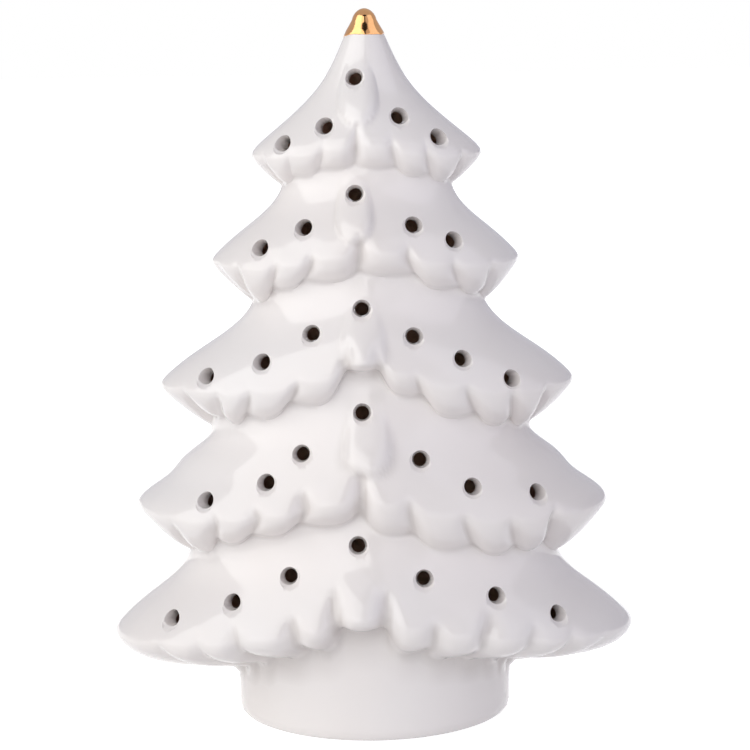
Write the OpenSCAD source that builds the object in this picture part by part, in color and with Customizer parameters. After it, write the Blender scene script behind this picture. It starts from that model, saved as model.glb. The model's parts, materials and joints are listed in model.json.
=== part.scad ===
// Glazed porcelain Christmas tree lamp with pierced branches, a gilt tip and a light unit in its foot.
// The frame stands on the middle of the foot's rim, with Z up, X across the front and minus Y to the front.

/* [Tree] */
// Height of the tree from the foot's rim to the tip
tree_h = 175; // [150:1:200]
// Width across the lowest branches
tree_w = 131; // [110:0.5:150]
// Depth across the lowest branches, front to back
tree_d = 83; // [70:0.5:96]
// Diameter of the round foot
foot_d = 68.4; // [62:0.2:76]
// Thickness of the porcelain wall
wall_t = 3.5; // [2.5:0.1:4.5]
// Radius of the blunt tip
tip_r = 3.3; // [2.5:0.1:4]
// Depth of the creases between two lobes of a branch
crease_d = 2.5; // [0.5:0.1:3]
// Swell of a lobe above the smooth branch, as a share of its creases' depth
swell_share = 0.4; // [0:0.05:0.5]

/* [Light holes] */
// Diameter of a light hole on the inside of the wall
hole_in_d = 3.5; // [2.5:0.1:4.2]
// Diameter of a light hole at the glaze
hole_out_d = 4.9; // [4.3:0.1:6]

/* [Foot] */
// Diameter of the opening for the light unit
opening_d = 48; // [44:0.5:52]
// Thickness of the porcelain floor round the opening
floor_t = 3.5; // [2.5:0.1:5]
// Depth of the floor above the foot's rim
foot_recess = 4; // [3.6:0.1:5]
// Thickness of the gilding on the tip
gilt_t = 0.12; // [0.05:0.01:0.3]

/* [Light unit] */
// Height of the light unit's underside above the foot's rim
unit_lift = 1.4; // [1:0.1:1.6]
// Height of the housing
housing_h = 20.2; // [20:0.1:24]
// Wall of the housing
housing_wall = 1.5; // [1.2:0.1:2]
// Thickness of the housing's base
base_t = 2.8; // [2.6:0.1:3.4]
// Width of the flange past the opening
flange_w = 3; // [2:0.1:4]
// Thickness of the cover
cover_t = 1.6; // [1.2:0.1:2.4]
// Thickness of the seal between housing and opening
seal_t = 1.5; // [1.2:0.1:2]
// Height of the seal
seal_h = 5; // [4:0.1:6]
// Running clearance of the seal in the opening
seal_gap = 0.05; // [0.02:0.01:0.09]
// Clearance between pieces that are put together by hand
hand_gap = 0.3; // [0.2:0.05:0.4]

/* [Battery bay] */
// Diameter of a button cell
cell_d = 11.6; // [11.4:0.1:12]
// Thickness of a button cell
cell_t = 5.4; // [5:0.1:5.6]
// Compressed length of the spring contact
spring_l = 4.7; // [4.2:0.1:5.5]
// Diameter of the spring's wire
wire_d = 0.5; // [0.4:0.05:0.6]
// Thickness of the contact plates
plate_t = 0.4; // [0.3:0.05:0.5]
// Wall of the battery bay
bay_wall = 1.2; // [1:0.1:1.4]
// Thickness of the battery door
door_t = 1.8; // [1.6:0.1:2]
// Diameter of a screw's shank
screw_d = 1.76; // [1.6:0.02:2]
// Length of a screw's shank
screw_l = 7; // [6:0.1:8]

/* [Circuit] */
// Width of the circuit board
board_w = 14; // [13:0.1:15]
// Thickness of the circuit board
board_t = 1; // [0.8:0.1:1.2]
// Diameter of the bulb's lens
bulb_d = 5; // [4.8:0.1:5.4]
// Height of the bulb
bulb_h = 8.6; // [7:0.1:9]
// Travel of the switch
switch_travel = 2.5; // [2:0.1:3]
// Diameter of a lead
lead_d = 1.2; // [1:0.1:1.4]

/* [Hidden] */

// Divisions of large and small rounds
round_n = 96;
small_n = 32;

// Heights on the tree are shares of its height, widths and depths are shares of half of each
side_hem_shares = [0.755, 0.591, 0.414, 0.231, 0.066];
front_hem_shares = [0.789, 0.64, 0.483, 0.306, 0.146];
belly_w_shares = [0.44, 0.585, 0.792, 0.906, 1];
belly_d_shares = [0.434, 0.602, 0.759, 0.892, 1];
waist_w_shares = [0.319, 0.438, 0.605, 0.708];
waist_d_shares = [0.337, 0.494, 0.639, 0.771];
// How far each branch's ends stand off to the right
sway_shares = [0, -0.011, -0.012, 0, 0];
// Rise from the hem to the widest line, at the front and at the sides
belly_rise_front_shares = [0.026, 0.028, 0.028, 0.03, 0.028];
belly_rise_side_shares = [0.042, 0.057, 0.06, 0.069, 0.055];
// Lean of the columns towards the sides at the top of each branch and at the foot, as shares of the most
lean_max = 20;
lean_shares = [0.8, 0.9, 1, 0.85, 0.75, 0.75];

// Each crease of the front: its angle, its height, the low point of the lobe on its right, how far it
// runs up, and its depth as a share of the creases' depth
lobe_shares = [
  [[-62, 0.769, 0.76, 0.02, 0.35], [-41, 0.769, 0.771, 0.024, 0.53], [-22, 0.782, 0.781, 0.027, 0.66],
   [-5, 0.793, 0.781, 0.046, 0.84], [13, 0.786, 0.769, 0.035, 0.7], [31, 0.774, 0.76, 0.035, 0.7],
   [55, 0.771, 0.755, 0.024, 0.57]],
  [[-66, 0.609, 0.597, 0.02, 0.35], [-50, 0.605, 0.598, 0.043, 0.75], [-36, 0.618, 0.617, 0.038, 0.84],
   [-21, 0.633, 0.629, 0.035, 0.88], [-3, 0.65, 0.637, 0.048, 1], [15, 0.64, 0.615, 0.037, 0.92],
   [33, 0.617, 0.604, 0.037, 0.84], [50, 0.607, 0.591, 0.038, 0.79]],
  [[-60, 0.446, 0.434, 0.018, 0.57], [-47, 0.445, 0.429, 0.033, 0.79], [-34, 0.451, 0.441, 0.034, 0.92],
   [-20, 0.469, 0.463, 0.029, 1], [-6, 0.518, 0.511, 0.043, 1.14], [2.5, 0.52, 0.474, 0.034, 0.79],
   [13, 0.474, 0.441, 0.029, 0.88], [27, 0.45, 0.424, 0.04, 0.97], [42, 0.437, 0.417, 0.042, 0.88],
   [57, 0.443, 0.414, 0.029, 0.84]],
  [[-52, 0.257, 0.249, 0.037, 0.88], [-40, 0.275, 0.267, 0.043, 0.84], [-28, 0.285, 0.283, 0.042, 0.97],
   [-16, 0.306, 0.301, 0.048, 1.14], [-2, 0.337, 0.287, 0.06, 1.14], [9, 0.291, 0.262, 0.049, 1],
   [22, 0.274, 0.249, 0.043, 1], [34, 0.265, 0.247, 0.042, 0.92], [48, 0.269, 0.231, 0.048, 0.97]],
  [[-54, 0.096, 0.087, 0.03, 0.44], [-41, 0.107, 0.1, 0.039, 0.57], [-31, 0.122, 0.116, 0.048, 0.79],
   [-17, 0.138, 0.131, 0.049, 1.06], [-8, 0.174, 0.16, 0.056, 1.19], [3, 0.172, 0.127, 0.053, 1.1],
   [13, 0.131, 0.115, 0.043, 1], [24, 0.118, 0.106, 0.066, 0.97], [36, 0.112, 0.097, 0.048, 0.79],
   [48, 0.105, 0.086, 0.039, 0.62], [61, 0.091, 0.066, 0.029, 0.53]]];

// Each light hole of the front: its angle and its share of the way down the branch
hole_shares = [
  [[-12, 0.45], [-50, 0.89], [-25, 0.8], [22, 0.73], [43, 0.86]],
  [[-5, 0.35], [-44, 0.73], [-25, 0.58], [17, 0.58], [34, 0.7]],
  [[-2, 0.41], [-51, 0.81], [-30, 0.7], [-16, 0.52], [12, 0.61], [25, 0.7], [41, 0.86]],
  [[-2, 0.35], [-43, 0.76], [-25, 0.64], [-16, 0.48], [11, 0.54], [23, 0.67], [43, 0.71]],
  [[-3, 0.31], [-51, 0.71], [-32, 0.58], [-18, 0.42], [10, 0.4], [26, 0.47], [44, 0.71]]];

// Raised tongues below the middle holes: middle across, low end, high end, half width, height
tongue_shares = [
  [-0.027, 0.843, 0.931, 0.074, 0.058], [-0.047, 0.683, 0.777, 0.067, 0.053],
  [-0.021, 0.503, 0.606, 0.082, 0.046], [-0.011, 0.374, 0.469, 0.085, 0.065]];

TIERS = len(lobe_shares);
half_w = tree_w / 2;
half_d = tree_d / 2;
foot_r = foot_d / 2;
foot_in_r = foot_r - wall_t;
recess_r = max(foot_in_r, opening_d / 2 + flange_w + hand_gap);
over = 1;
tip_drop = 0.8 * tip_r;
tip_z = tree_h - gilt_t - tip_drop;

// A turn past a quarter repeats the front on the back
function folded(t) = t > 90 ? folded(t - 180) : t < -90 ? folded(t + 180) : t;
function mixed(a, b, share) = a + (b - a) * share;
function clipped(v) = max(0, min(1, v));
function side_share(t) = pow(abs(sin(t)), 3);

// Share of the hem's rise at an angle: one at the front, none at the sides
arch_soft_share = 0.01;
arch_power = 0.42;
function arch_share(t) =
  (1 - pow(pow(sin(t), 2) + arch_soft_share, arch_power)) / (1 - pow(arch_soft_share, arch_power));
function hem_z(i, t) = tree_h * mixed(side_hem_shares[i], front_hem_shares[i], arch_share(t));
function belly_rise(i, t) =
  tree_h * mixed(belly_rise_front_shares[i], belly_rise_side_shares[i], side_share(t));

// The creases of a branch's front, with the side lobe before the first and after the last
half_turn = [180, 0, 0, 0, 0];
function creases(i) =
  let (rows = lobe_shares[i], last = len(rows) - 1)
  concat([rows[last] - half_turn], rows, [rows[0] + half_turn]);
function lobe_at(rows, a, k = 0) = a < rows[k + 1][0] || k + 2 >= len(rows) ? k : lobe_at(rows, a, k + 1);
// The scalloped hem: its height, how far from the lobe's middle, and its creases' run and depth
function lobe(i, t) =
  let (rows = creases(i), a = folded(t), k = lobe_at(rows, a))
  let (u = (a - rows[k][0]) / (rows[k + 1][0] - rows[k][0]), away = abs(2 * u - 1))
  let (line = mixed(rows[k][1], rows[k + 1][1], u), full = pow(clipped(1 - pow(away, 2.2)), 0.55))
  [tree_h * mixed(line, rows[k][2], full), away,
    tree_h * mixed(rows[k][3], rows[k + 1][3], u), crease_d * mixed(rows[k][4], rows[k + 1][4], u)];

// Share of the way out from the waist to the belly, at a share of the way down: a power of it, bent by
// waves, and a bump that makes the side's tip blunt
flare_powers = [1, 1.15, 1.08, 1.08, 1.1];
blunt_shares = [1, 0.8, 0.6, 0.3, 0.8];
function flare_w(i, w) =
  (i == 0 ? 0.55 * w + 0.45 * pow(w, 3) - 0.09 * sin(360 * w) * w * w
  : i == 3 ? pow(w, flare_powers[i]) - 0.035 * sin(360 * w) - 0.035 * sin(720 * w)
  : pow(w, flare_powers[i]) - 0.05 * sin(360 * w)) + blunt_shares[i] * pow(w, 12) * (1 - w);
function flare_d(i, w) =
  i == 0 ? 0.75 * w + 0.25 * pow(w, 3) - 0.09 * sin(360 * w) * w * w : w - 0.08 * sin(360 * w);
function waist(i) =
  i < 0 ? [tip_r, tip_r]
  : i == TIERS - 1 ? [foot_r, foot_r]
  : [half_w * waist_w_shares[i], half_d * waist_d_shares[i]];
function belly(i) = [half_w * belly_w_shares[i], half_d * belly_d_shares[i]];
function top_z(i, t) = i == 0 ? tip_z : lobe(i - 1, t)[0];

// Half width and half depth of the smooth branch at a height and an angle
function flank(i, z, t) =
  let (high = i == 0 ? tip_z : hem_z(i - 1, t))
  let (low = hem_z(i, t) + belly_rise(i, t))
  let (w = clipped((high - z) / (high - low)))
  let (near = waist(i - 1), far = belly(i))
  [mixed(near[0], far[0], flare_w(i, w)), mixed(near[1], far[1], flare_d(i, w))];

// Depth of the surface below the smooth branch: a crease gets shallower and narrower as it runs up, and
// between two creases the lobe swells
swell_run_share = 0.023;
function dip(edge, up, side) =
  let (q = clipped(up / edge[2]), away = edge[1])
  let (full = pow(clipped(1 - pow(away, mixed(2.2, 4, q))), mixed(0.62, 0.8, q)))
  let (reach = up / (edge[2] + tree_h * swell_run_share))
  let (puff = clipped(1 - pow(away, 2.2)) * clipped(1 - reach * reach) * (1 - side))
  edge[3] * ((1 - full) * (1 - q * q) - swell_share * puff);

// Height of the tongues above the branch
tongue_mid_share = 0.36;
function tongue(row, x, z) =
  let (low = tree_h * row[1], high = tree_h * row[2], mid = mixed(low, high, tongue_mid_share))
  let (rise = (z - mid) / (high - mid), down = max(0, (mid - z) / (mid - low)))
  let (q = norm([(x - half_w * row[0]) / (half_w * row[3]), max(rise, down)]))
  half_d * row[4] * pow(clipped(1 - pow(q, 3)), 0.5) * pow(1 - clipped(rise), 0.8);
function tongues(x, z) = max([for (row = tongue_shares) tongue(row, x, z)]);

// A point of a branch: share v runs 0 to 1 down to the belly and 1 to 2 on to the waist below. Columns
// lean so that the creases hang straight down
belly_share = 0.65;
function leaned(t, share) = t + lean_max * share * sin(2 * t);
function skin(i, v, t, smooth = false) =
  let (w = min(v, 1), u = max(v - 1, 0), side = side_share(t))
  let (curl = 1 - sqrt(max(0, 1 - u * u)))
  let (slant = i == TIERS - 1 ? curl : 0.85 * pow(u, 1.1) + 0.15 * curl)
  let (inward = mixed(curl, slant, side), far = waist(i))
  let (a = smooth ? t : leaned(t, lean_shares[i] * (1 - w) + lean_shares[i + 1] * inward))
  let (edge = smooth ? [hem_z(i, t), 0, 1, 0] : lobe(i, t))
  let (high = i > 0 && smooth ? hem_z(i - 1, t) : top_z(i, t))
  let (low = mixed(edge[0], hem_z(i, t), belly_share) + belly_rise(i, t))
  let (z = mixed(high, low, w), height = mixed(z, edge[0], u))
  let (near = flank(i, z, a), deep = smooth ? 0 : dip(edge, height - edge[0], side))
  let (rx = mixed(near[0] - deep, far[0], inward), ry = mixed(near[1] - deep, far[1], inward))
  let (sway = half_w * sway_shares[i] * side * w * (1 - inward))
  let (x = rx * sin(a) + sway, face = abs(folded(a) - a) < 1 ? 1 : -1)
  [x, -ry * cos(a) - (smooth ? 0 : face * tongues(face * x, height)), height];

// Angles of a branch's columns: each lobe gets its own, so that a crease is a column
front_cols = 4;
side_cols = 8;
function face_angles(i) =
  let (rows = lobe_shares[i], last = len(rows) - 1)
  concat(
    [for (k = [0:last - 1], m = [0:front_cols - 1]) mixed(rows[k][0], rows[k + 1][0], m / front_cols)],
    [for (m = [0:side_cols - 1]) mixed(rows[last][0], rows[0][0] + 180, m / side_cols)]);
function turn_angles(i) = let (f = face_angles(i)) concat(f, [for (a = f) a + 180]);

// Rows down a branch, and the rings of the whole outside as a list of closed rings
row_shares = [0, 0.22, 0.42, 0.6, 0.75, 0.88, 1, 1.35, 1.62, 1.86];
tip_turns = [22.5, 45, 67.5];
rim_r = 1.5;
gilt_share = 0.1;
function rows_of(i) =
  i == 0 ? concat([0, gilt_share], [for (v = row_shares) if (v > gilt_share) v]) : row_shares;
function tier_rings(i) = [for (v = rows_of(i)) [for (t = turn_angles(i)) skin(i, v, t)]];
// The way out from the axis along a column, at the top of a branch or at the foot
function outward(t, i) = let (a = leaned(t, lean_shares[i])) [sin(a), -cos(a), 0];
function tip_rings(grow = 0) =
  [for (a = tip_turns) let (r = (tip_r + grow) * sin(a))
    [for (t = turn_angles(0)) r * outward(t, 0) + [0, 0, tip_z + (tip_drop + grow) * cos(a)]]];
function foot_ring(r, share, z) = [for (t = turn_angles(TIERS - 1))
  r * outward(t, TIERS) + [0, 0, mixed(z, lobe(TIERS - 1, t)[0], share)]];
function foot_rings() = [
  foot_ring(foot_r, 1, 0),
  foot_ring(foot_r, 0.5, rim_r),
  foot_ring(foot_r, 0, rim_r),
  foot_ring(foot_r - 0.3 * rim_r, 0, 0.3 * rim_r),
  foot_ring(foot_r - rim_r, 0, 0)];

function flattened(lists) = [for (l = lists, item = l) item];
function ring_starts(rings, k = 0, sum = 0) =
  k == len(rings) ? [] : concat([sum], ring_starts(rings, k + 1, sum + len(rings[k])));
tiny_turn = 0.0001;
function count_below(list, limit) = len([for (a = list) if (a < limit) 1]);
function mids(angles) =
  [for (k = [0:len(angles) - 1]) (angles[k] + (k + 1 < len(angles) ? angles[k + 1] : angles[0] + 360)) / 2];

// Faces between two rings with the same columns
function band(s0, s1, n) = flattened([for (k = [0:n - 1]) let (m = (k + 1) % n)
  [[s0 + k, s1 + m, s1 + k], [s0 + k, s0 + m, s1 + m]]]);
// Faces between two rings whose columns differ, taken in order of their angles
function seam(s0, up_angles, s1, low_angles) =
  let (up_mids = mids(up_angles), low_mids = mids(low_angles), n = len(up_angles), m = len(low_angles))
  concat(
    [for (k = [0:n - 1]) [s0 + k, s0 + (k + 1) % n, s1 + count_below(low_mids, up_mids[k]) % m]],
    [for (k = [0:m - 1]) [s1 + (k + 1) % m, s1 + k, s0 + count_below(up_mids, low_mids[k] + tiny_turn) % n]]);
function cap(ring_start, n, apex, down) =
  [for (k = [0:n - 1]) down
    ? [apex, ring_start + (k + 1) % n, ring_start + k] : [apex, ring_start + k, ring_start + (k + 1) % n]];

// The whole outside as one closed body
module tree_body() {
  rings = concat(tip_rings(), [for (i = [0:TIERS - 1], ring = tier_rings(i)) ring], foot_rings());
  angles = concat(
    [for (a = tip_turns) turn_angles(0)],
    [for (i = [0:TIERS - 1], v = rows_of(i)) turn_angles(i)],
    [for (ring = foot_rings()) turn_angles(TIERS - 1)]);
  starts = ring_starts(rings);
  points = concat(flattened(rings), [[0, 0, tip_z + tip_drop], [0, 0, 0]]);
  apex = len(points) - 2;
  base = len(points) - 1;
  last = len(rings) - 1;
  bands = flattened([for (k = [0:last - 1])
    angles[k] == angles[k + 1] ? band(starts[k], starts[k + 1], len(rings[k]))
    : seam(starts[k], angles[k], starts[k + 1], angles[k + 1])]);
  ends = concat(
    cap(starts[0], len(rings[0]), apex, true),
    cap(starts[last], len(rings[last]), base, false));
  polyhedron(points = points, faces = concat(bands, ends));
}

// The hollow follows the smooth branches one wall further in, with a straight neck past each hem
hollow_cols = 36;
hollow_row_shares = [0.35, 0.65, 0.86];
probe_share = 0.02;
probe_turn = 1;
neck_rise_share = 0.6;
function unit(v) = v / norm(v);
function inner_point(i, v, t) =
  let (down = skin(i, v + probe_share, t, true) - skin(i, v - probe_share, t, true))
  let (across = skin(i, v, t + probe_turn, true) - skin(i, v, t - probe_turn, true))
  let (deeper = 1.6 * crease_d * pow(v, 3))
  skin(i, v, t, true) + (wall_t + deeper) * unit(cross(across, down)) + [0, 0, deeper];
// Line of the creases' tops and line of the lobes' low points, both at an angle
function crease_line(i, t) =
  let (rows = creases(i), a = folded(t), k = lobe_at(rows, a))
  tree_h * mixed(rows[k][1], rows[k + 1][1], (a - rows[k][0]) / (rows[k + 1][0] - rows[k][0]));
function low_line(i, t) = let (rows = creases(i)) tree_h * rows[lobe_at(rows, folded(t))][2];
function neck_point(i, t, z) =
  let (size = waist(i)) [(size[0] - wall_t) * sin(t), -(size[1] - wall_t) * cos(t), z];
function hollow_angles() = [for (k = [0:hollow_cols - 1]) 360 * k / hollow_cols];
floor_top = foot_recess + floor_t;
function hollow_rings() = concat(
  flattened([for (i = [0:TIERS - 1]) let (rise = wall_t * (i == TIERS - 1 ? 1 : neck_rise_share)) concat(
    [for (v = hollow_row_shares) [for (t = hollow_angles()) inner_point(i, v, t)]],
    [[for (t = hollow_angles()) neck_point(i, t, crease_line(i, t) + rise)]],
    i < TIERS - 1
      ? [[for (t = hollow_angles()) neck_point(i, t, min(hem_z(i, t), low_line(i, t)))]] : [])]),
  [[for (t = hollow_angles()) neck_point(TIERS - 1, t, floor_top)]]);

module hollow() {
  rings = hollow_rings();
  last = len(rings) - 1;
  points = concat(flattened(rings), [[0, 0, tree_h - 3.2 * wall_t], [0, 0, floor_top]]);
  apex = len(points) - 2;
  base = len(points) - 1;
  bands = flattened([for (k = [0:last - 1]) band(k * hollow_cols, (k + 1) * hollow_cols, hollow_cols)]);
  ends = concat(cap(0, hollow_cols, apex, true), cap(last * hollow_cols, hollow_cols, base, false));
  polyhedron(points = points, faces = concat(bands, ends));
}

// One light hole, wider at the glaze, along the direction in which it was punched
hole_turn_share = 0.6;
hole_tilt = 12;
hole_reach = 2.6 * wall_t;
hole_over = 1.4 * wall_t;
module light_hole(i, row) {
  slope = (hole_out_d - hole_in_d) / 2 / wall_t;
  translate(skin(i, row[1], row[0]))
    rotate([0, 0, hole_turn_share * row[0]])
      rotate([90 - hole_tilt, 0, 0])
        translate([0, 0, -hole_reach])
          cylinder(h = hole_reach + hole_over, r1 = hole_out_d / 2 - slope * hole_reach,
            r2 = hole_out_d / 2 + slope * hole_over, $fn = small_n);
}
// The back's holes sit a little higher and further round, so that none lines up with one in front
back_nudge = [6, -0.12];
module light_holes() {
  for (i = [0:TIERS - 1], row = hole_shares[i]) {
    light_hole(i, row);
    rotate([0, 0, 180]) light_hole(i, row + back_nudge);
  }
}

module tree_shell() color("white") difference() {
  tree_body();
  hollow();
  translate([0, 0, -over]) cylinder(h = foot_recess + over, r = recess_r, $fn = round_n);
  cylinder(h = foot_recess + floor_t + over, r = opening_d / 2, $fn = round_n);
  light_holes();
}

// The gilding covers the tip down to a row of the tree's own surface
function edge_rings(grow) =
  [for (v = [0, gilt_share]) [for (t = turn_angles(0)) skin(0, v, t) + grow * outward(t, 0)]];
gilt_gap = 0.03;
module gold_tip() {
  n = len(turn_angles(0));
  outer = concat(tip_rings(gilt_t), edge_rings(gilt_t));
  inner = concat(tip_rings(gilt_gap), edge_rings(gilt_gap));
  count = len(outer);
  rings = concat(outer, [for (k = [count - 1:-1:0]) inner[k]]);
  points = concat(flattened(rings), [[0, 0, tree_h], [0, 0, tree_h - gilt_t + gilt_gap]]);
  last = len(rings) - 1;
  bands = flattened([for (k = [0:last - 1]) band(k * n, (k + 1) * n, n)]);
  ends = concat(cap(0, n, len(points) - 2, true), cap(last * n, n, len(points) - 1, false));
  color("gold") polyhedron(points = points, faces = concat(bands, ends));
}

// Shapes that several pieces share
module rounded(l, w, r) {
  square([l - 2 * r, w], center = true);
  square([l, w - 2 * r], center = true);
  for (x = [-1, 1], y = [-1, 1]) translate([x * (l / 2 - r), y * (w / 2 - r)]) circle(r = r, $fn = small_n);
}
// A tube through points, its sides turned about one steady direction
function slope_at(path, k) = unit(path[min(k + 1, len(path) - 1)] - path[max(k - 1, 0)]);
module tube(path, r, steady, sides) {
  n = len(path);
  rings = [for (k = [0:n - 1])
    let (along = slope_at(path, k), u = unit(cross(along, steady)), w = cross(along, u))
    [for (j = [0:sides - 1]) path[k] + r * (u * cos(360 * j / sides) + w * sin(360 * j / sides))]];
  bands = flattened([for (k = [0:n - 2]) band((k + 1) * sides, k * sides, sides)]);
  ends = concat(cap(0, sides, n * sides, false), cap((n - 1) * sides, sides, n * sides + 1, true));
  points = concat(flattened(rings), [path[0], path[n - 1]]);
  polyhedron(points = points, faces = concat(bands, ends));
}

// Light unit: heights and radii
opening_r = opening_d / 2;
seal_r = opening_r - seal_gap;
housing_r = seal_r - seal_t;
housing_in_r = housing_r - housing_wall;
flange_r = opening_r + flange_w;
flange_t = foot_recess - unit_lift - hand_gap;
edge_r = 0.5;
base_top = unit_lift + base_t;
housing_top = unit_lift + housing_h;

// Battery bay: the cells lie in a row along X, behind the middle
cell_count = 3;
bay_l = cell_count * cell_t + 2 * plate_t + spring_l;
bay_w = cell_d + 2 * hand_gap;
bay_y = 5;
cell_z = base_top + hand_gap + cell_d / 2;
bay_top = cell_z + cell_d / 2 + hand_gap;
roof_top = bay_top + bay_wall;
cell_x = bay_l / 2 - plate_t - cell_count * cell_t;

// Battery door with an ear for its screw
door_side = 2.2;
door_l = bay_l + 3.2 * door_side;
door_w = bay_w + door_side;
door_corner = 2;
ear_r = 3.4;
ear_reach = 1.6;
ear_x = door_l / 2 + ear_reach;
door_rim_t = 1;
head_d = 3.6;
head_h = 1.2;
head_sink = 1;
boss_wall = 1.4;
boss_r = screw_d / 2 + boss_wall;
screw_gap = 0.03;
module door_outline(grow) {
  translate([0, bay_y]) {
    rounded(door_l + 2 * grow, door_w + 2 * grow, door_corner + grow);
    translate([ear_x, 0]) circle(r = ear_r + grow, $fn = small_n);
    translate([0, -ear_r - grow]) square([ear_x, 2 * (ear_r + grow)]);
  }
}

// Cover screws stand on a circle inside the cover's skirt
skirt_h = 2.4;
skirt_t = 1.1;
skirt_r = housing_in_r - screw_gap;
boss_ring = housing_in_r - skirt_t - 2 * hand_gap - boss_r;
cover_turns = [90, 210, 330];
COVER_SCREWS = [0:len(cover_turns) - 1];
module at_cover_screw(k) {
  rotate([0, 0, cover_turns[k]]) translate([boss_ring, 0, 0]) children();
}

// Switch in front of the middle
switch_y = -14;
switch_l = 9.4;
switch_w = 4.4;
switch_h = 3.6;
stem_l = 2.2;
stem_w = 1.6;
stem_out = 0.4;
shoe_l = 3.6;
shoe_w = 2.4;
shoe_h = 1.6;
rest_rib_h = 1.2;
rest_rib_w = 1.2;
board_y = 1;
board_l = bay_l - 2 * plate_t;
board_z = roof_top + rest_rib_h;
slot_gap = 0.4;

module switch_slot(l, w, low, high) {
  translate([0, switch_y, (low + high) / 2])
    cube([l + switch_travel + 2 * hand_gap, w + 2 * hand_gap, high - low], center = true);
}

module light_housing() color("ivory") difference() {
  union() {
    rotate_extrude($fn = round_n) polygon([
      [0, unit_lift], [flange_r - edge_r, unit_lift], [flange_r, unit_lift + edge_r],
      [flange_r, unit_lift + flange_t], [housing_r, unit_lift + flange_t], [housing_r, housing_top],
      [housing_in_r, housing_top], [housing_in_r, base_top], [0, base_top]]);
    translate([-bay_l / 2 - bay_wall, bay_y - bay_w / 2 - bay_wall, base_top - over])
      cube([bay_l + 2 * bay_wall, bay_w + 2 * bay_wall, roof_top - base_top + over]);
    for (x = [-1, 1]) translate([x * (board_l / 2 - rest_rib_w), board_y - board_w / 4, roof_top - over])
      translate([-rest_rib_w / 2, 0, 0]) cube([rest_rib_w, board_w / 2, rest_rib_h + over]);
    translate([ear_x, bay_y, base_top - over])
      cylinder(h = screw_l + over, r = boss_r, $fn = small_n);
    for (k = COVER_SCREWS) at_cover_screw(k)
      translate([0, 0, base_top - over]) cylinder(h = housing_top - base_top + over, r = boss_r, $fn = small_n);
  }
  translate([-bay_l / 2, bay_y - bay_w / 2, unit_lift]) cube([bay_l, bay_w, bay_top - unit_lift]);
  for (x = [-1, 1]) translate([x * (bay_l / 2 - slot_gap), bay_y, bay_top])
    cube([2 * slot_gap, tab_w + 2 * hand_gap, 4 * bay_wall], center = true);
  translate([0, 0, unit_lift - over]) linear_extrude(door_t + over) door_outline(hand_gap);
  translate([ear_x, bay_y, unit_lift])
    cylinder(h = base_t + screw_l - boss_wall, r = screw_d / 2 + screw_gap, $fn = small_n);
  for (k = COVER_SCREWS) at_cover_screw(k) translate([0, 0, housing_top - screw_l])
    cylinder(h = screw_l + over, r = screw_d / 2 + screw_gap, $fn = small_n);
  switch_slot(stem_l, stem_w, unit_lift - over, base_top + over);
}

// Soft ring with two ribs that grips the opening
module seal_ring() {
  low = unit_lift + flange_t;
  rib = seal_h / 5;
  waist_r = seal_r - seal_t / 3;
  color("gray") rotate_extrude($fn = round_n) polygon([
    [housing_r, low], [waist_r, low], [seal_r, low + rib], [waist_r, low + 2 * rib],
    [seal_r, low + 3 * rib], [waist_r, low + 4 * rib], [waist_r, low + seal_h], [housing_r, low + seal_h]]);
}

module battery_door() color("ivory") difference() {
  union() {
    translate([0, 0, unit_lift]) linear_extrude(door_t) door_outline(0);
    translate([0, bay_y, unit_lift + door_t - over]) linear_extrude(base_t - door_t + over) difference() {
      rounded(bay_l - 2 * hand_gap, bay_w - 2 * hand_gap, door_rim_t);
      rounded(bay_l - 2 * hand_gap - 2 * door_rim_t, bay_w - 2 * hand_gap - 2 * door_rim_t, door_rim_t / 2);
    }
  }
  translate([ear_x, bay_y, unit_lift - over]) {
    cylinder(h = door_t + 2 * over, r = screw_d / 2 + 2 * screw_gap, $fn = small_n);
    cylinder(h = head_sink + over, r = head_d / 2 + 2 * screw_gap, $fn = small_n);
  }
}

// A pan head screw, head down at the origin, with its shank up
screw_point = 0.8;
module pan_screw() {
  crown = head_h / 3;
  rotate_extrude($fn = small_n) polygon([
    [0, 0], [head_d / 2 - crown, 0], [head_d / 2, crown], [head_d / 2, head_h], [screw_d / 2, head_h],
    [screw_d / 2, head_h + screw_l - screw_point], [0, head_h + screw_l]]);
}
module door_screw() color("silver") {
  translate([ear_x, bay_y, unit_lift + head_sink - head_h]) pan_screw();
}

// Button cell: a can with a smaller cap towards the spring
cap_share = 0.82;
cap_h = 0.3;
cell_edge = 0.3;
module cell(k) {
  r = cell_d / 2;
  cap_r = cap_share * r;
  translate([cell_x + k * cell_t, bay_y, cell_z]) rotate([0, 90, 0])
    rotate_extrude($fn = round_n) polygon([
      [0, 0], [cap_r, 0], [cap_r, cap_h], [r - cell_edge, cap_h], [r, cap_h + cell_edge],
      [r, cell_t - cell_edge], [r - cell_edge, cell_t], [0, cell_t]]);
}
module cell_1() color("silver") cell(0);
module cell_2() color("silver") cell(1);
module cell_3() color("silver") cell(2);

// Contacts: a plate with a tab that rises past the board's end
tab_w = 2;
tab_over = 0.6;
plate_share = 0.78;
module contact_plate(side) {
  size = plate_share * cell_d;
  translate([side * (bay_l / 2 - plate_t / 2), bay_y, cell_z]) {
    cube([plate_t, size, size], center = true);
    translate([-plate_t / 2, -tab_w / 2, 0]) cube([plate_t, tab_w, board_z + board_t + tab_over - cell_z]);
  }
}
module plate_contact() color("silver") contact_plate(1);

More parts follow.
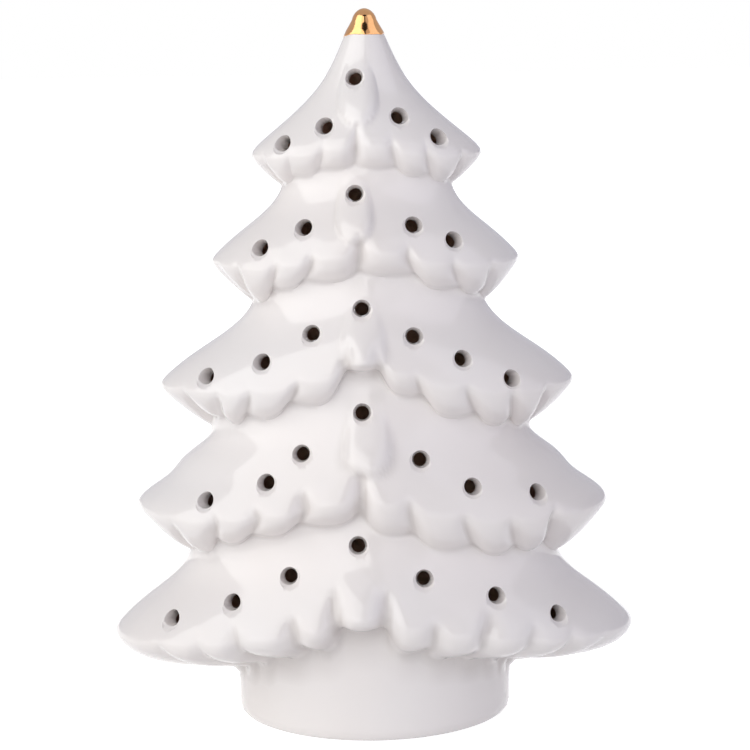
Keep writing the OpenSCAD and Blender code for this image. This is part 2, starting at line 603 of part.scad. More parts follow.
// The spring is one conical coil on its plate
coil_turns = 3;
coil_wide_share = 0.62;
coil_tight_share = 0.3;
coil_rings = 36;
coil_sides = 6;
module spring_contact() {
  from = -bay_l / 2 + plate_t + wire_d / 3;
  to = cell_x - wire_d / 2;
  path = [for (k = [0:coil_rings]) let (s = k / coil_rings, a = 360 * coil_turns * s)
    let (r = cell_d / 2 * mixed(coil_wide_share, coil_tight_share, s))
    [mixed(from, to, s), bay_y + r * cos(a), cell_z + r * sin(a)]];
  color("silver") {
    contact_plate(-1);
    tube(path, wire_d / 2, [1, 0, 0], coil_sides);
  }
}

module circuit_board() color("seagreen") difference() {
  translate([0, board_y, board_z]) linear_extrude(board_t) rounded(board_l, board_w, door_rim_t);
  for (x = [-1, 1]) translate([x * lead_pitch / 2, 0, board_z - over])
    cylinder(h = board_t + 2 * over, r = lead_hole_r, $fn = small_n);
}

// Bulb: a round lens on a collar, its two leads through the board
lead_pitch = 2.54;
lead_side = 0.5;
lead_hole_r = 0.72 * lead_side;
lead_stand = 1.5;
collar_share = 1.16;
collar_h = 1;
lead_below = 0.9;
bulb_z = board_z + board_t + lead_stand;
module led_bulb() {
  r = bulb_d / 2;
  color("lightyellow") translate([0, 0, bulb_z]) {
    cylinder(h = collar_h, r = collar_share * r, $fn = small_n);
    cylinder(h = bulb_h - r, r = r, $fn = small_n);
    translate([0, 0, bulb_h - r]) sphere(r = r, $fn = small_n);
  }
}
module led_leads() color("silver") {
  for (x = [-1, 1]) translate([x * lead_pitch / 2 - lead_side / 2, -lead_side / 2, board_z - lead_below])
    cube([lead_side, lead_side, bulb_z - board_z + lead_below]);
}

// Resistor lying on the board, its wires bent down into it
resistor_l = 3.4;
resistor_d = 1.8;
resistor_y = 5.2;
resistor_wire = 0.5;
resistor_run = 1.6;
resistor_z = board_z + board_t + resistor_d / 2;
module resistor() color("tan") {
  translate([0, resistor_y, resistor_z]) rotate([0, 90, 0]) {
    cylinder(h = resistor_l, r = resistor_d / 2, center = true, $fn = small_n);
    cylinder(h = resistor_l + 2 * resistor_run, r = resistor_wire / 2, center = true, $fn = small_n);
  }
  for (x = [-1, 1]) translate([x * (resistor_l / 2 + resistor_run), resistor_y, board_z + board_t])
    cylinder(h = resistor_d / 2 + resistor_wire / 2, r = resistor_wire / 2, $fn = small_n);
}

// Slide switch: the shoe runs inside the body and its stem comes out through the base
module switch_body() color("dimgray") difference() {
  translate([-switch_l / 2, switch_y - switch_w / 2, base_top]) cube([switch_l, switch_w, switch_h]);
  switch_slot(shoe_l, shoe_w, base_top - over, base_top + shoe_h + 2 * hand_gap);
}
module switch_slider() color("black") {
  translate([-switch_travel / 2, switch_y, 0]) {
    translate([-shoe_l / 2, -shoe_w / 2, base_top + hand_gap]) cube([shoe_l, shoe_w, shoe_h]);
    translate([-stem_l / 2, -stem_w / 2, unit_lift - stem_out])
      cube([stem_l, stem_w, base_top - unit_lift + stem_out + hand_gap + shoe_h / 2]);
  }
}
pin_pitch = 2.5;
pin_w = 0.8;
pin_t = 0.4;
pin_h = 3;
pin_top = base_top + switch_h + pin_h;
module switch_pins() color("silver") {
  for (k = [-1:1]) translate([k * pin_pitch - pin_w / 2, switch_y - pin_t / 2, base_top + switch_h])
    cube([pin_w, pin_t, pin_h]);
}

// A lead runs from a switch pin up and over to the board's underside
lead_rings = 10;
lead_end_gap = 0.06;
lead_sides = 8;
lead_rise_share = 0.75;
function curved(p, s) =
  pow(1 - s, 3) * p[0] + 3 * s * pow(1 - s, 2) * p[1] + 3 * s * s * (1 - s) * p[2] + pow(s, 3) * p[3];
module lead(side) {
  low = [side * pin_pitch, switch_y, pin_top];
  high = [side * pin_pitch, board_y - board_w / 2 + lead_d, board_z - lead_end_gap];
  reach = lead_rise_share * (high[2] - low[2]);
  turns = [low, low + [0, 0, reach], high - [0, 0, reach], high];
  tube([for (k = [0:lead_rings]) curved(turns, k / lead_rings)], lead_d / 2, [1, 0, 0], lead_sides);
}
module red_lead() color("red") lead(-1);
module black_lead() color("black") lead(1);

// Cover with a skirt inside the housing and a hole for the bulb
module light_cover() color("ivory") difference() {
  union() {
    rotate_extrude($fn = round_n) polygon([
      [0, housing_top], [housing_r, housing_top], [housing_r, housing_top + cover_t - edge_r],
      [housing_r - edge_r, housing_top + cover_t], [0, housing_top + cover_t]]);
    rotate_extrude($fn = round_n) translate([skirt_r - skirt_t, housing_top - skirt_h])
      square([skirt_t, skirt_h + edge_r]);
  }
  translate([0, 0, housing_top - over])
    cylinder(h = cover_t + 2 * over, r = collar_share * bulb_d / 2 + hand_gap, $fn = small_n);
  for (k = COVER_SCREWS) at_cover_screw(k) translate([0, 0, housing_top - over])
    cylinder(h = cover_t + 2 * over, r = screw_d / 2 + screw_gap, $fn = small_n);
}

module cover_screw(k) {
  at_cover_screw(k) translate([0, 0, housing_top + cover_t + head_h]) rotate([180, 0, 0]) pan_screw();
}
module cover_screw_1() color("silver") cover_screw(0);
module cover_screw_2() color("silver") cover_screw(1);
module cover_screw_3() color("silver") cover_screw(2);

tree_shell();
gold_tip();
light_housing();
seal_ring();
battery_door();
door_screw();
cell_1();
cell_2();
cell_3();
spring_contact();
plate_contact();
circuit_board();
led_bulb();
led_leads();
resistor();
switch_body();
switch_slider();
switch_pins();
red_lead();
black_lead();
light_cover();
cover_screw_1();
cover_screw_2();
cover_screw_3();
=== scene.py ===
# A pierced porcelain Christmas tree lamp: its glaze, gilding and light unit, dressed over the solids.
import json
import math
import bpy
import numpy as np
from mathutils import Matrix


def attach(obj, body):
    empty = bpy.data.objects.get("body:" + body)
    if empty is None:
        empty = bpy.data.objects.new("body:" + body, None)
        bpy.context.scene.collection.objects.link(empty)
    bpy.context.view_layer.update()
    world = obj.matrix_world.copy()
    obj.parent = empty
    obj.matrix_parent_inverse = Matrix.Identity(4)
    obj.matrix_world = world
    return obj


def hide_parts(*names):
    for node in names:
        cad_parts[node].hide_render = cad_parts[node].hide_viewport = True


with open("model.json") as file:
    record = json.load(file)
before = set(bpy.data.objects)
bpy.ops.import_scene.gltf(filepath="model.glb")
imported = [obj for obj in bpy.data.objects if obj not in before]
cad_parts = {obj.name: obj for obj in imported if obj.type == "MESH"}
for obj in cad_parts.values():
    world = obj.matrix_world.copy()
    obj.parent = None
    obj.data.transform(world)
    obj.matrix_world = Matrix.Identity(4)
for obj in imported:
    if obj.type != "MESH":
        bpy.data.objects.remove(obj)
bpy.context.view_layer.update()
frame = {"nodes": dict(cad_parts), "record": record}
MM = 0.001

# The tree in millimetres: its tip, its width and depth, its foot and its wall
TIERS = 5
TREE_H, TIP_R, TIP_DROP, GILT_T = 175.0, 3.3, 2.64, 0.12
TIP_Z = TREE_H - GILT_T - TIP_DROP
TAPER, TAPER_Z = 0.25, 169.5
HALF_W, HALF_D, FOOT_R, WALL, RIM_R = 65.5, 41.5, 34.2, 3.5, 1.5
FOOT_FLOOR_Z, OPENING_R, RECESS_R, RECESS_Z = 7.5, 24, 30.7, 4
COAT_GAP = 0.02

# The five branches from the top down: hems, bellies, waists, the bellies' rise over the hems, the lean of
# the lobes in degrees, the swell between creases, and the flanks' own flare, bluntness and sway
SIDE_HEM = TREE_H * np.array([0.755, 0.591, 0.414, 0.231, 0.066])
FRONT_HEM = TREE_H * np.array([0.789, 0.64, 0.483, 0.306, 0.146])
BELLY_W = HALF_W * np.array([0.44, 0.585, 0.792, 0.906, 1])
BELLY_D = HALF_D * np.array([0.434, 0.602, 0.759, 0.892, 1])
WAIST_W = np.append(HALF_W * np.array([0.319, 0.438, 0.605, 0.708]), FOOT_R)
WAIST_D = np.append(HALF_D * np.array([0.337, 0.494, 0.639, 0.771]), FOOT_R)
RISE_FRONT = TREE_H * np.array([0.031, 0.034, 0.034, 0.036, 0.034])
RISE_SIDE = TREE_H * np.array([0.042, 0.057, 0.06, 0.069, 0.055])
LEAN = 20 * np.array([0.8, 0.9, 1, 0.85, 0.75, 0.75])
OUTER_LEAN = 1.1
SWELL_SHARE, SWELL_RUN, BELLY_SHARE = 0.4, 4.0, 0.65
FLARE_POWERS, BLUNT = [1, 1.15, 1.08, 1.08, 1.1], [1, 0.8, 0.6, 0.3, 0.8]
SWAY = HALF_W * np.array([0, -0.011, -0.012, 0, 0])

# Each crease of a branch's front: its angle, then as shares of the tree's height its own height, the low
# point of the lobe on its right and how far it runs up, and its depth as a share of the creases' depth.
# The glaze softens a crease again, so that it ends about as deep as the casting's
CREASE_D, CAST_D = 3.4, 2.5
CREASES = [
    [(-62, 0.769, 0.76, 0.02, 0.15), (-41, 0.769, 0.771, 0.024, 0.53), (-22, 0.782, 0.781, 0.027, 0.66),
     (-5, 0.793, 0.781, 0.046, 0.84), (13, 0.786, 0.769, 0.035, 0.7), (31, 0.774, 0.76, 0.035, 0.7),
     (55, 0.771, 0.755, 0.024, 0.57)],
    [(-74, 0.609, 0.6, 0.03, 0.3), (-55, 0.605, 0.597, 0.043, 0.75), (-36, 0.618, 0.617, 0.038, 0.84),
     (-21, 0.633, 0.629, 0.035, 0.88), (-3, 0.65, 0.637, 0.048, 1), (15, 0.64, 0.615, 0.037, 0.92),
     (33, 0.617, 0.604, 0.037, 0.84), (53, 0.607, 0.591, 0.038, 0.79)],
    [(-62, 0.446, 0.434, 0.018, 0.57), (-44.5, 0.445, 0.429, 0.033, 0.79), (-34, 0.451, 0.441, 0.034, 0.92),
     (-20, 0.469, 0.463, 0.029, 1), (-6, 0.518, 0.511, 0.043, 1.14), (2.5, 0.52, 0.474, 0.034, 0.79),
     (13, 0.474, 0.441, 0.029, 0.88), (27, 0.45, 0.424, 0.04, 0.97), (42, 0.437, 0.417, 0.042, 0.88),
     (57, 0.443, 0.414, 0.029, 0.84)],
    [(-80, 0.25, 0.243, 0.03, 0.3), (-56, 0.255, 0.248, 0.037, 0.85), (-40, 0.275, 0.267, 0.043, 0.84),
     (-28, 0.285, 0.283, 0.042, 0.97), (-16, 0.306, 0.301, 0.048, 1.14), (-2, 0.337, 0.287, 0.06, 1.14),
     (9, 0.291, 0.262, 0.049, 1), (22, 0.274, 0.249, 0.043, 1), (34, 0.265, 0.247, 0.042, 0.92),
     (48, 0.269, 0.231, 0.048, 0.97)],
    [(-54, 0.096, 0.087, 0.03, 0.44), (-41, 0.107, 0.1, 0.039, 0.57), (-31, 0.122, 0.116, 0.048, 0.79),
     (-17, 0.138, 0.131, 0.049, 1.06), (-8, 0.174, 0.16, 0.056, 1.19), (3, 0.172, 0.127, 0.053, 1.1),
     (13, 0.131, 0.115, 0.043, 1), (24, 0.118, 0.106, 0.066, 0.97), (36, 0.112, 0.097, 0.048, 0.79),
     (48, 0.105, 0.086, 0.039, 0.62), (61, 0.091, 0.066, 0.029, 0.53)]]

# Raised tongues below the middle holes, as shares of the half width, the height and the half depth:
# middle across, low end, high end, half width, height
TONGUES = [
    (-0.027, 0.843, 0.931, 0.074, 0.058), (-0.047, 0.683, 0.777, 0.067, 0.053),
    (-0.021, 0.503, 0.606, 0.082, 0.046), (-0.011, 0.374, 0.469, 0.085, 0.065),
    (-0.062, 0.158, 0.25, 0.085, 0.024)]

# Each light hole of the front: its angle and its share of the way down its branch
HOLES = [
    [(-12, 0.45), (-50, 0.89), (-25, 0.8), (22, 0.73), (43, 0.86)],
    [(-5, 0.35), (-44, 0.73), (-25, 0.58), (17, 0.58), (34, 0.7)],
    [(-2, 0.41), (-51, 0.81), (-30, 0.7), (-16, 0.52), (12, 0.61), (25, 0.7), (41, 0.86)],
    [(-2, 0.35), (-43, 0.76), (-25, 0.64), (-16, 0.48), (11, 0.54), (23, 0.67), (43, 0.71)],
    [(-3, 0.31), (-51, 0.71), (-32, 0.58), (-18, 0.42), (10, 0.4), (26, 0.47), (44, 0.71)]]


def mixed(low, high, share):
    """The value at a share of the way from low to high."""
    return low + (high - low) * share


def folded(turn):
    """An angle brought into the front half, because the back repeats the front turned half a turn."""
    turn = (turn + 180.0) % 360.0 - 180.0
    return np.where(turn > 90, turn - 180.0, np.where(turn < -90, turn + 180.0, turn))


def leaned(turn, lean):
    """The angle of a column that leans towards the sides by a sine of twice its angle."""
    return turn + lean * np.sin(np.radians(2 * turn))


def side_share(turn):
    """None at the front and one at the sides: the sine's size, cubed."""
    return np.abs(np.sin(np.radians(turn))) ** 3


def crease_rows(tier):
    """A branch's creases in degrees and millimetres, with the nearest one of the back at either end."""
    rows = np.array(CREASES[tier]) * [1, TREE_H, TREE_H, TREE_H, CREASE_D]
    half_turn = [180, 0, 0, 0, 0]
    return np.vstack([rows[-1:] - half_turn, rows, rows[:1] + half_turn])


def scallop(tier, turn):
    """The scalloped hem at an angle: its height, the distance from the lobe's middle as a share,
    and the run and depth of the crease, both mixed from the creases on either side of the lobe."""
    rows, angle = crease_rows(tier), folded(turn)
    left = np.clip(np.searchsorted(rows[:, 0], angle, side="right") - 1, 0, len(rows) - 2)
    across = (angle - rows[left, 0]) / (rows[left + 1, 0] - rows[left, 0])
    away = np.abs(2 * across - 1)
    line = mixed(rows[left, 1], rows[left + 1, 1], across)
    full = np.clip(1 - away ** 2.2, 0, 1) ** 0.55
    return (mixed(line, rows[left, 2], full), away, mixed(rows[left, 3], rows[left + 1, 3], across),
            mixed(rows[left, 4], rows[left + 1, 4], across))


def smooth_hem(tier, turn):
    """The hem's height without lobes: it arches up at the front as a soft power of the sine."""
    arch = (1 - (np.sin(np.radians(turn)) ** 2 + 0.01) ** 0.42) / (1 - 0.01 ** 0.42)
    return mixed(SIDE_HEM[tier], FRONT_HEM[tier], arch)


def belly_rise(tier, turn):
    """How far the widest line stands above the hem."""
    return mixed(RISE_FRONT[tier], RISE_SIDE[tier], side_share(turn))


def flank(tier, z, turn):
    """Half width and half depth of a branch without its lobes: from the waist above out to the belly,
    along a power of the share of the way down that a sine bends inwards, and a second one in the fourth
    branch. The first branch starts at the tip and mixes a straight line with a cube. High powers of the
    share keep the bellies blunt."""
    high = np.full_like(turn, TIP_Z) if tier == 0 else smooth_hem(tier - 1, turn)
    low = smooth_hem(tier, turn) + belly_rise(tier, turn)
    down = np.clip((high - z) / (high - low), 0, 1)
    wave, half_wave = np.sin(2 * np.pi * down), np.sin(4 * np.pi * down)
    blunt = BLUNT[tier] * down ** 12 * (1 - down)
    if tier == 0:
        out_w = 0.55 * down + 0.45 * down ** 3 - 0.09 * wave * down ** 2 + blunt
        out_d = 0.75 * down + 0.25 * down ** 3 - 0.09 * wave * down ** 2
        return mixed(TIP_R, BELLY_W[0], out_w), mixed(TIP_R, BELLY_D[0], out_d)
    bend = 0.035 * wave + 0.035 * half_wave if tier == 3 else 0.05 * wave
    out_w = down ** FLARE_POWERS[tier] - bend + blunt
    return (mixed(WAIST_W[tier - 1], BELLY_W[tier], out_w),
            mixed(WAIST_D[tier - 1], BELLY_D[tier], down - 0.08 * wave))


def raised(points):
    """The points with the tongues on both faces. A tongue is an egg: the square root of one less the cubed
    distance from its centre, with a steep low end, and it fades out at the top."""
    x, y, z = np.moveaxis(points, -1, 0)
    face = np.where(y < 0, 1.0, -1.0)
    height = np.zeros_like(x)
    for middle, low, top, half, tall in np.array(TONGUES) * [HALF_W, TREE_H, TREE_H, HALF_W, HALF_D]:
        centre = mixed(low, top, 0.36)
        rise = (z - centre) / (top - centre)
        along = np.where(z < centre, (z - centre) / (centre - low), rise)
        away = np.hypot((face * x - middle) / half, along)
        bump = np.clip(1 - away ** 3, 0, 1) ** 0.5 * np.clip(1 - np.clip(rise, 0, 1), 0, 1) ** 0.8
        height = np.maximum(height, tall * bump)
    return np.stack([x, y - face * height, z], -1)


def skin(tier, way, turn, smooth=False):
    """A point of a branch. The way runs 0 to 1 down the flank to the belly and 1 to 2 round under the hem to
    the waist, along a quarter circle that the sides flatten to a slant. Columns lean, more so at the sides,
    so that the creases hang straight down. Between two creases a lobe stands out, rounder towards the hem,
    and each crease gets shallower and narrower as it runs up."""
    turn = np.asarray(turn, float) + 0 * np.asarray(way, float)
    way = np.asarray(way, float) + 0 * turn
    down, under = np.clip(way, 0, 1), np.clip(way - 1, 0, 1)
    side = side_share(turn)
    curl = 1 - np.sqrt(np.clip(1 - under * under, 0, 1))
    slant = curl if tier == TIERS - 1 else 0.85 * under ** 1.1 + 0.15 * curl
    inward = mixed(curl, slant, 0.4 + 0.6 * side)
    if smooth:
        angle, edge = turn, smooth_hem(tier, turn)
        high = np.full_like(turn, TIP_Z) if tier == 0 else smooth_hem(tier - 1, turn)
    else:
        outer = 1 + OUTER_LEAN * np.sin(np.radians(turn)) ** 6
        above = LEAN[tier] * (1 - down) * mixed(outer, 1, (1 - down) ** 2)
        angle = leaned(turn, above + LEAN[tier + 1] * inward)
        edge, away, run, depth = scallop(tier, turn)
        high = np.full_like(turn, TIP_Z) if tier == 0 else scallop(tier - 1, turn)[0]
    low = mixed(edge, smooth_hem(tier, turn), BELLY_SHARE) + belly_rise(tier, turn)
    z = mixed(high, low, down)
    height = mixed(z, edge, under)
    near_w, near_d = flank(tier, z, angle)
    if not smooth:
        up = np.clip((height - edge) / (1.12 * run), 0, 1)
        full = np.clip(1 - away ** mixed(2.2, 4.0, up), 0, 1) ** mixed(0.62, 0.8, up)
        fade = np.clip(1 - ((height - edge) / (run + SWELL_RUN)) ** 2, 0, 1)
        puff = np.clip(1 - away ** 2.2, 0, 1) * fade * (1 - side)
        dip = depth * ((1 - full) * (1 - up ** 3) - SWELL_SHARE * puff)
        near_w, near_d = near_w - dip, near_d - dip
    wide, deep = mixed(near_w, WAIST_W[tier], inward), mixed(near_d, WAIST_D[tier], inward)
    sway = SWAY[tier] * side * down * (1 - inward)
    x, y = wide * np.sin(np.radians(angle)) + sway, -deep * np.cos(np.radians(angle))
    return np.stack([x, y, height], -1)


def pointed(rows):
    """The tip's last few millimetres, drawn in evenly towards the top."""
    share = np.clip((rows[..., 2:] - TAPER_Z) / (TREE_H - TAPER_Z), 0, 1)
    return rows * np.concatenate([1 - TAPER * share, 1 - TAPER * share, 1 + 0 * share], -1)


def lathe_row(turns, radius, z):
    """One round row at a height."""
    x, y = radius * np.sin(np.radians(turns)), -radius * np.cos(np.radians(turns))
    return np.stack([x, y, z + 0 * turns], -1)


def dome_rows(turns, angles, coat=0.0):
    """Rows of the tip's dome, at angles down from its pole, with a coat on it."""
    return [lathe_row(turns, (TIP_R + coat) * math.sin(a), TIP_Z + (TIP_DROP + coat) * math.cos(a))
            for a in np.radians(angles)]


def closed_body(rows, top, bottom):
    """Points and faces of a closed body as on a lathe: rows of equal columns from top to bottom, joined to
    a point at either end."""
    rows = np.asarray(rows)
    count, cols = rows.shape[:2]
    points = np.concatenate([[top], rows.reshape(-1, 3), [bottom]])
    index = 1 + np.arange(count * cols).reshape(count, cols)
    beside = np.roll(index, -1, axis=1)
    quads = np.stack([index[:-1], index[1:], beside[1:], beside[:-1]], -1).reshape(-1, 4)
    caps = np.concatenate([
        np.stack([np.zeros(cols, int), index[0], beside[0]], -1),
        np.stack([np.full(cols, len(points) - 1), beside[-1], index[-1]], -1)])
    return points, quads.tolist() + caps.tolist()


def new_piece(name, points, faces):
    """A mesh object at the origin from points in millimetres."""
    mesh = bpy.data.meshes.new(name)
    mesh.from_pydata((np.asarray(points) * MM).tolist(), [], faces)
    mesh.validate()
    mesh.shade_smooth()
    piece = bpy.data.objects.new(name, mesh)
    bpy.context.scene.collection.objects.link(piece)
    return piece


def settle(rows, passes, round_passes):
    """Glaze fills what is sharp: every point moves half the way to the mean of its four neighbours, over and
    over, with the first and last rows held, and then to that of its two neighbours in the same row."""
    for _ in range(passes):
        mean = (np.roll(rows, 1, 1) + np.roll(rows, -1, 1))[1:-1] + rows[:-2] + rows[2:]
        rows[1:-1] = mixed(rows[1:-1], mean / 4, 0.5)
    for _ in range(round_passes):
        rows = mixed(rows, (np.roll(rows, 1, 1) + np.roll(rows, -1, 1)) / 2, 0.5)
    return rows


def crease_shade_depth(rows):
    """How much painted shade each point gets in the creases and hollows: how far a much smoother surface
    stands out past it there, past a tenth of a millimetre, held between none and one."""
    around = np.roll(rows, -1, 1) - np.roll(rows, 1, 1)
    down = np.gradient(rows, axis=0)
    normal = np.cross(around, -down)
    normal /= np.linalg.norm(normal, axis=-1, keepdims=True) + 1e-9
    deep = ((settle(rows.copy(), 5, 12) - rows) * normal).sum(-1)
    return np.clip((deep - 0.1) / 0.45, 0, 1)


def tree_turns():
    """Angles of the columns: close together over the creased faces and wider apart at the sides."""
    creased = np.linspace(-68, 68, 194, endpoint=False)
    plain = np.linspace(68, 112, 22, endpoint=False)
    face = np.concatenate([creased, plain])
    return np.concatenate([face, face + 180])


def tree_outside():
    """Rows of the whole outside from the tip to the middle of the foot's rim."""
    turns = tree_turns()
    top, bottom = leaned(turns, LEAN[0]), leaned(turns, LEAN[TIERS])
    rows = dome_rows(top, [14, 30, 46, 62, 76])
    down = np.concatenate([np.linspace(0, 0.35, 7, endpoint=False), np.linspace(0.35, 1, 19, endpoint=False)])
    under = 1 + np.sin(np.radians(np.linspace(0, 90, 9)))
    for tier in range(TIERS):
        rows += [skin(tier, way, turns) for way in np.concatenate([down, under[:-1]])]
    edge = skin(TIERS - 1, 2.0, turns)
    rows.append(edge)
    rows += [lathe_row(bottom, FOOT_R, mixed(edge[:, 2], RIM_R, share)) for share in (0.12, 0.4, 0.75, 1.0)]
    rows += [lathe_row(bottom, FOOT_R - RIM_R * (1 - math.cos(a)), RIM_R * (1 - math.sin(a)))
             for a in np.radians([30, 60, 90])]
    return settle(raised(settle(pointed(np.array(rows)), 2, 2)), 1, 0)


def tree_hollow():
    """Rows of the hollow: the smooth branches moved in along their normals, by one wall and by more where
    the creases are deep, with a straight neck at each waist."""
    turns = np.arange(0, 360, 5.0)
    rows = []
    for tier in range(TIERS):
        for way in (0.35, 0.65, 0.86):
            down = skin(tier, way + 0.02, turns, True) - skin(tier, way - 0.02, turns, True)
            across = skin(tier, way, turns + 1, True) - skin(tier, way, turns - 1, True)
            normal = np.cross(across, down)
            normal /= np.linalg.norm(normal, axis=-1, keepdims=True)
            deeper = 1.6 * CAST_D * way ** 3
            rows.append(skin(tier, way, turns, True) + (WALL + deeper) * normal + [0, 0, deeper])
        creases = crease_rows(tier)
        line = np.interp(folded(turns), creases[:, 0], creases[:, 1])
        neck = np.stack([(WAIST_W[tier] - WALL) * np.sin(np.radians(turns)),
                         -(WAIST_D[tier] - WALL) * np.cos(np.radians(turns)),
                         line + WALL * (1 if tier == TIERS - 1 else 0.6)], -1)
        rows.append(neck)
        if tier < TIERS - 1:
            left = np.searchsorted(creases[:, 0], folded(turns), side="right") - 1
            low = neck.copy()
            low[:, 2] = np.minimum(smooth_hem(tier, turns), creases[np.clip(left, 0, len(creases) - 1), 2])
            rows.append(low)
    rows.append(lathe_row(turns, FOOT_R - WALL, FOOT_FLOOR_Z))
    return np.array(rows)


def hole_cutters():
    """Trumpets that punch the light holes: narrow through the wall and flared like a quarter round at the
    glaze, along the direction of the punch. The back's sit a little higher and further round than the
    front's, so that the front's look dark from the camera."""
    bore, mouth, lip, turns = 1.65, 2.15, 0.6, np.radians(np.arange(0, 360, 12))
    inner_end, bore_end, outer_end, outer_flare = -9.1, -2.5, 2.2, 0.9
    punch_tilt, turned_share = 78, 0.52
    bend = np.radians(np.linspace(0, 75, 6))
    heights = np.concatenate([[inner_end, bore_end], -lip * (1 - np.sin(bend)), [outer_end]])
    radii = np.concatenate([[bore, bore], mouth + lip * (1 - np.cos(bend)), [mouth + lip + outer_flare]])
    ring = np.stack([np.cos(turns), np.sin(turns)], -1)
    levels = np.broadcast_to(heights[:, None, None], (len(heights), len(turns), 1))
    tube = np.concatenate([radii[:, None, None] * ring, levels], -1)
    points, faces, start = [], [], 0
    for side, turn, higher in ((0, 0, 0), (180, 6, 0.12)):
        half_turn = Matrix.Rotation(math.radians(side), 3, "Z")
        for tier, row in enumerate(HOLES):
            for angle, share in np.array(row) + [turn, -higher]:
                steer = half_turn @ Matrix.Rotation(math.radians(turned_share * angle), 3, "Z") \
                    @ Matrix.Rotation(math.radians(punch_tilt), 3, "X")
                spot = np.array(half_turn) @ raised(skin(tier, share, angle))
                body = tube.reshape(-1, 3) @ np.array(steer).T + spot
                index = start + np.arange(len(body)).reshape(len(radii), len(turns))
                beside = np.roll(index, -1, axis=1)
                quads = np.stack([index[:-1], beside[:-1], beside[1:], index[1:]], -1)
                faces += quads.reshape(-1, 4).tolist()
                faces += [index[0][::-1].tolist(), index[-1].tolist()]
                points.append(body)
                start += len(body)
    return np.concatenate(points), faces


def gold_leaf():
    """The gilding's rows: the tip's own surface with a thin coat on it, down to an edge that wanders a
    little, and back up a hair above the glaze."""
    turns, angles = np.arange(0, 360, 5.0), [10, 22, 34, 46, 58, 70, 80]
    waves = (-0.07 * np.sin(np.radians(turns)) + 0.05 * np.sin(np.radians(3 * turns + 40))
             + 0.03 * np.cos(np.radians(7 * turns)))
    wander, outwards = 0.115 * (1 + waves), lathe_row(turns, 1, 0)
    down = [skin(0, wander * share, turns) + GILT_T * thick * outwards
            for share, thick in ((0.0, 1), (0.3, 1), (0.6, 1), (0.85, 1), (0.97, 0.8), (1.0, 0.3))]
    up = [skin(0, wander * share, turns) + COAT_GAP * outwards for share in (0.9, 0.5, 0.0)]
    rows = dome_rows(turns, angles, GILT_T) + down + up + dome_rows(turns, angles[::-1], COAT_GAP)
    return pointed(np.array(rows))


def cut_by(piece, cutters):
    """Takes every cutter out of the piece, one after another, and drops the cutters. The faces that the first
    cutter leaves get the value one in the attribute named inside: it wears a second slot until then."""
    for thing in [piece] + cutters:
        thing.data.materials.append(FINISHES["white_glaze"])
        thing.data.materials.append(FINISHES["white_glaze"])
    first_faces = cutters[0].data.polygons
    first_faces.foreach_set("material_index", np.ones(len(first_faces), np.int32))
    for cutter in cutters:
        change = piece.modifiers.new(cutter.name, "BOOLEAN")
        change.operation, change.solver, change.object = "DIFFERENCE", "MANIFOLD", cutter
        change.material_mode = "INDEX"
    bpy.context.view_layer.update()
    result = bpy.data.meshes.new_from_object(piece.evaluated_get(bpy.context.evaluated_depsgraph_get()))
    piece.modifiers.clear()
    old = piece.data
    piece.data = result
    result.name = piece.name
    bpy.data.meshes.remove(old)
    inside = np.zeros(len(result.polygons), np.int32)
    result.polygons.foreach_get("material_index", inside)
    result.attributes.new("inside", "FLOAT", "FACE").data.foreach_set("value", inside.astype(np.float32))
    result.polygons.foreach_set("material_index", 0 * inside)
    for cutter in cutters:
        bpy.data.objects.remove(cutter)


def turned_profile(profile):
    """Points and faces of a closed profile of radius and height pairs, turned about the upright axis."""
    turns = np.degrees(np.linspace(0, 2 * np.pi, 96, endpoint=False))
    rows = [lathe_row(turns, radius, z) for radius, z in profile[1:-1]]
    return closed_body(rows, (0, 0, profile[0][1]), (0, 0, profile[-1][1]))


class Wire:
    """A socket of a finish. Sums, products and comparisons of wires add the Math nodes that work them out."""

    def __init__(self, finish, socket):
        self.finish, self.socket = finish, socket

    def worked(self, operation, first, second):
        return self.finish.add("ShaderNodeMath", {"operation": operation}, {0: first, 1: second})

    def __add__(self, other):
        return self.worked("ADD", self, other)

    def __radd__(self, other):
        return self.worked("ADD", other, self)

    def __sub__(self, other):
        return self.worked("SUBTRACT", self, other)

    def __rsub__(self, other):
        return self.worked("SUBTRACT", other, self)

    def __mul__(self, other):
        return self.worked("MULTIPLY", self, other)

    def __rmul__(self, other):
        return self.worked("MULTIPLY", other, self)

    def __gt__(self, other):
        return self.worked("GREATER_THAN", self, other)

    def __lt__(self, other):
        return self.worked("LESS_THAN", self, other)


